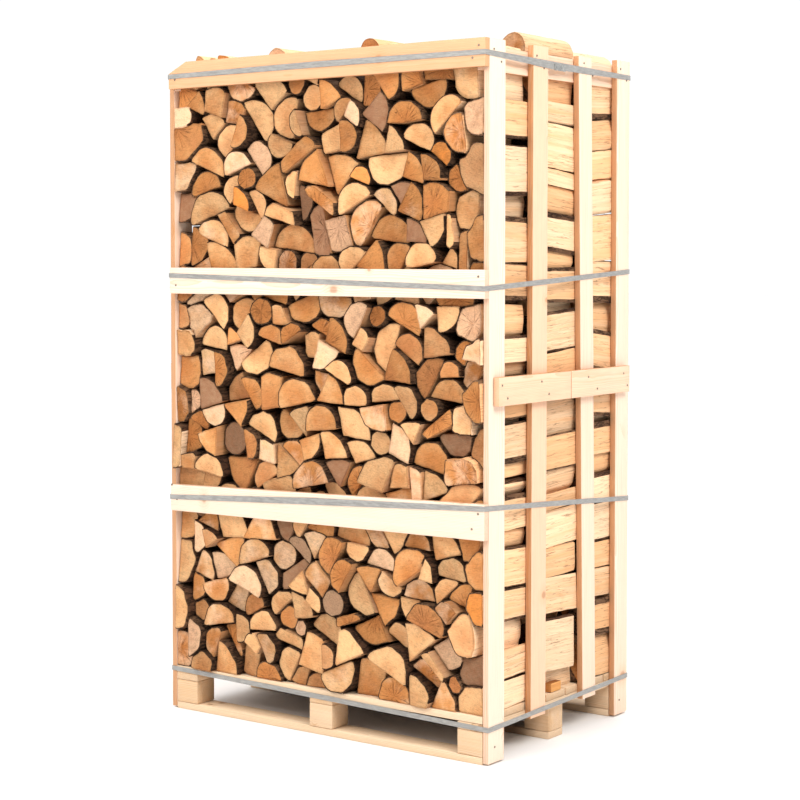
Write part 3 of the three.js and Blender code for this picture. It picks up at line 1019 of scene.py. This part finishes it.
def seal(node, material):
    """A folded steel sleeve with two pairs of crimps."""
    low, high = (Vector(corner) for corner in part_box(node))
    size = high - low
    thin, wide, long = sorted((X, Y, Z), key=lambda axis: size[axis])
    bm = bmesh.new()
    bmesh.ops.create_cube(bm, size=1, matrix=Matrix.Translation((low + high) / 2)
                          @ Matrix.Diagonal((*size, 1)))
    crosscut(bm, long, [low[long] + size[long] * (at + side * CRIMP_HALF)
                        for at in CRIMPS for side in (-1, 0, 1)])
    centre = (low + high) / 2
    for vert in bm.verts:
        at = (vert.co[long] - low[long]) / size[long]
        if any(abs(at - crimp) < 0.01 for crimp in CRIMPS):
            vert.co[wide] += (centre[wide] - vert.co[wide]) * CRIMP_PINCH
    soften(bm, min(0.3 * MM, size[thin] * 0.2), 0.3)
    bmesh.ops.dissolve_degenerate(bm, dist=5e-6, edges=bm.edges)
    piece = new_object(node + "_crimped", bm, [material], math.radians(40))
    stand_for(piece, node)


NAIL_RADIUS = 3.6 * MM
NAIL_TOP_RADIUS = 3.0 * MM
NAIL_DEPTH = 2.2 * MM
NAIL_SLANT = ((0.27, 0.72), (0.72, 0.26))              # across and up a joint
FOOT_NAIL = 49 * MM                                    # height of the nail in a post's foot
BOARD_NAILS = ((578 * MM, 0.74), (557 * MM, 0.34))     # from the middle and up a face board


def nail_spots():
    """Places and facing of the nail heads: two across each joint, on a slant."""
    spots = []
    top_low, top_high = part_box("top_rail_right")
    mid_low, mid_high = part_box("mid_rail_right_front")
    mid_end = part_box("mid_rail_right_rear")[1][Y]
    for side, facing in (("right", 1), ("left", -1)):
        outwards = Vector((facing, 0, 0))
        for at in ("front_corner", "front_inner", "rear_inner", "rear_corner"):
            low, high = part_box(f"post_{side}_{at}")
            face = high[X] if facing > 0 else low[X]
            for across, up in NAIL_SLANT:
                y = low[Y] + (high[Y] - low[Y]) * across
                z = top_low[Z] + (top_high[Z] - top_low[Z]) * up + 8 * MM
                if z < high[Z]:
                    spots.append((Vector((face, y, z)), outwards))
            near = max(low[Y], mid_low[Y])
            far = min(high[Y], mid_end)
            for across, up in NAIL_SLANT:
                y = near + (far - near) * across
                z = mid_low[Z] + (mid_high[Z] - mid_low[Z]) * up
                spots.append((Vector((facing * mid_high[X], y, z)), outwards))
            if "corner" in at:
                y = low[Y] + (high[Y] - low[Y]) * 0.4
                spots.append((Vector((face, y, FOOT_NAIL)), outwards))
    for rank, facing in (("front", -1), ("rear", 1)):
        for level in ("top", "middle", "lower"):
            low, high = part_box(f"face_board_{rank}_{level}")
            face = low[Y] if facing < 0 else high[Y]
            for side in (-1, 1):
                # the top boards have lost the corner that the outer nail would be in
                lost = level == "top" and side == facing
                for out, up in BOARD_NAILS[lost:]:
                    place = Vector((side * out, face, low[Z] + (high[Z] - low[Z]) * up))
                    spots.append((place, Vector((0, facing, 0))))
    return spots


def make_nails(material):
    """All nail heads as one piece."""
    bm = bmesh.new()
    for spot, facing in nail_spots():
        stand = facing.to_track_quat("Z", "Y").to_matrix().to_4x4()
        place = Matrix.Translation(spot - facing * 0.5 * MM) @ stand
        bmesh.ops.create_cone(bm, cap_ends=True, segments=14, radius1=NAIL_RADIUS,
                              radius2=NAIL_TOP_RADIUS, depth=NAIL_DEPTH, matrix=place)
    piece = new_object("nail_heads", bm, [material], math.radians(35))
    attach(piece, "root")


# ---------- the crate

make_camera()
make_studio()
make_boards(random.Random(20))
make_straps()
steel = plain_metal("seal_steel", colour(150, 150, 148), colour(196, 196, 192), 120)
for level in (1, 2, 3, 4):
    seal(f"strap_seal_{level}", steel)
make_nails(plain_metal("nail_metal", colour(120, 104, 88), colour(168, 158, 146), 400))
make_logs()

[[list(corner) for corner in box] for box in (cad_box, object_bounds())]
